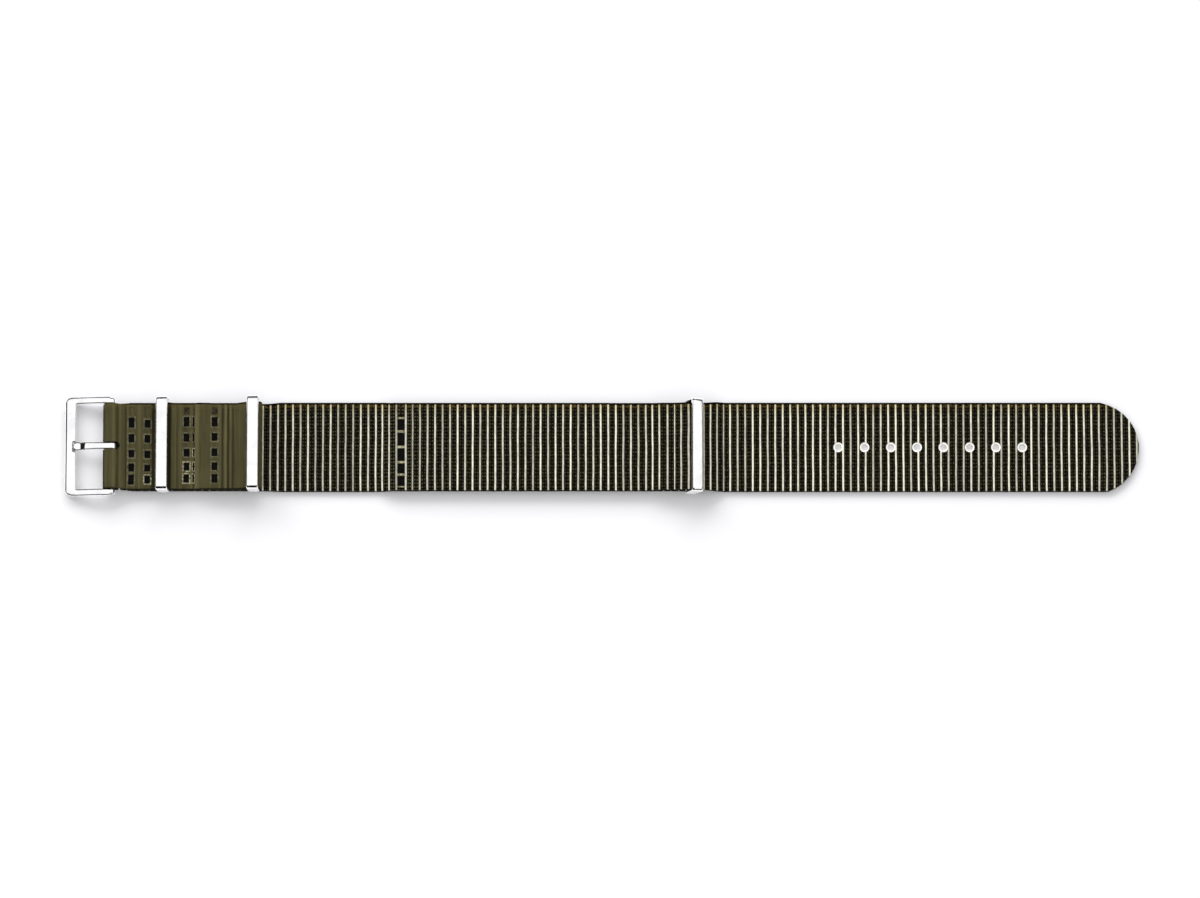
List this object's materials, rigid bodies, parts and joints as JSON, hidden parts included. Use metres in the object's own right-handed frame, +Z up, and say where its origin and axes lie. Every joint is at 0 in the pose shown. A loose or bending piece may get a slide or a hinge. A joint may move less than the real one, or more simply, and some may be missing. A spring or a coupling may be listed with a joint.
{
  "type": "nato watch strap",
  "caption": "Pull-through ribbed webbing watch strap laid flat, with polished steel keepers and a pin buckle on a spring bar, welded at windowed seams.",
  "frame": {"origin": "on the table under the middle of the whole strap, which lies flat", "axes": "+X from the buckle to the tip, +Y across the strap, +Z up from the table"},
  "size_m": [0.267, 0.0248, 0.008],
  "materials": {
    "webbing": "woven ribbed webbing, olive and black with pale cords",
    "polished_steel": "polished stainless steel",
    "spring_bar_steel": "drawn stainless steel"
  },
  "bodies": {
    "webbing": {"main_strap": "webbing", "under_strap": "webbing"},
    "buckle": {"buckle_frame": "polished_steel", "spring_bar_tube": "spring_bar_steel", "spring_bar_coil": "spring_bar_steel"},
    "tongue": {"buckle_tongue": "polished_steel"},
    "tip_left": {"spring_bar_tip_left": "spring_bar_steel"},
    "tip_right": {"spring_bar_tip_right": "spring_bar_steel"},
    "front_ring": {"keeper_front": "polished_steel"},
    "middle_ring": {"keeper_middle": "polished_steel"},
    "end_ring": {"keeper_end": "polished_steel"}
  },
  "joints": [
    {"name": "buckle_pivot", "type": "hinge", "parent": "webbing", "child": "buckle", "pos_m": [-0.12176, 0, 0.00225], "axis": [0, 1, 0], "range_deg": [-120, 110]},
    {"name": "tongue_pivot", "type": "hinge", "parent": "buckle", "child": "tongue", "pos_m": [-0.12176, 0, 0.00225], "axis": [0, -1, 0], "range_deg": [-110, 0]},
    {"name": "tip_left_slide", "type": "slide", "parent": "buckle", "child": "tip_left", "axis": [0, -1, 0], "range_m": [0, 0.00125], "stiffness_N_per_m": 300, "springref_m": -0.0005, "deforming": ["spring_bar_coil"]},
    {"name": "tip_right_slide", "type": "slide", "parent": "buckle", "child": "tip_right", "axis": [0, 1, 0], "range_m": [0, 0.00125], "stiffness_N_per_m": 300, "springref_m": -0.0005, "deforming": ["spring_bar_coil"]},
    {"name": "keeper_front_tilt", "type": "hinge", "parent": "webbing", "child": "front_ring", "pos_m": [-0.1088, 0, 0.002], "axis": [0, 1, 0], "range_deg": [-52, 64]},
    {"name": "keeper_middle_tilt", "type": "hinge", "parent": "webbing", "child": "middle_ring", "pos_m": [-0.08635, 0, 0.00328], "axis": [0, 1, 0], "range_deg": [-48, 90]},
    {"name": "keeper_end_tilt", "type": "hinge", "parent": "webbing", "child": "end_ring", "pos_m": [0.02205, 0, 0.002], "axis": [0, 1, 0], "range_deg": [-58, 12]}
  ]
}
